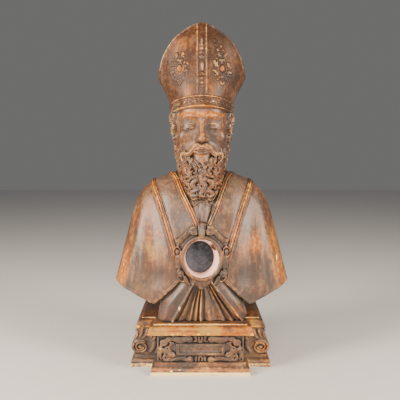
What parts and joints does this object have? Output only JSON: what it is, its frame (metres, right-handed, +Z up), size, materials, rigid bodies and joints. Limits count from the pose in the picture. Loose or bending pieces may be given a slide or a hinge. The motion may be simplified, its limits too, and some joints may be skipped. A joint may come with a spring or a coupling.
{
  "type": "reliquary bust",
  "caption": "Carved wooden bust of a bearded bishop in a mitre, with an oval relic window in the chest, on a stepped scrolled plinth.",
  "frame": {"origin": "middle of the whole part's box, on its underside, which is where it stands", "axes": "+Z up, the figure faces -Y, +X is to the right of someone who looks at its face"},
  "size_m": [0.406, 0.24, 0.7797],
  "materials": {
    "brown_wood": "old brown varnish over carved wood, waxy, rubbed to orange-brown on the high places, with grey dust in the hollows",
    "worn_wood": "orange-brown varnish, rubbed and chipped to pale ground along the edges",
    "dark_glass": "old dark blue-grey glass, mottled"
  },
  "bodies": {
    "root": {"plinth_foot": "worn_wood", "plinth_body": "brown_wood", "plinth_cap": "worn_wood", "bust": "brown_wood", "window_pane": "dark_glass"}
  },
  "joints": []
}
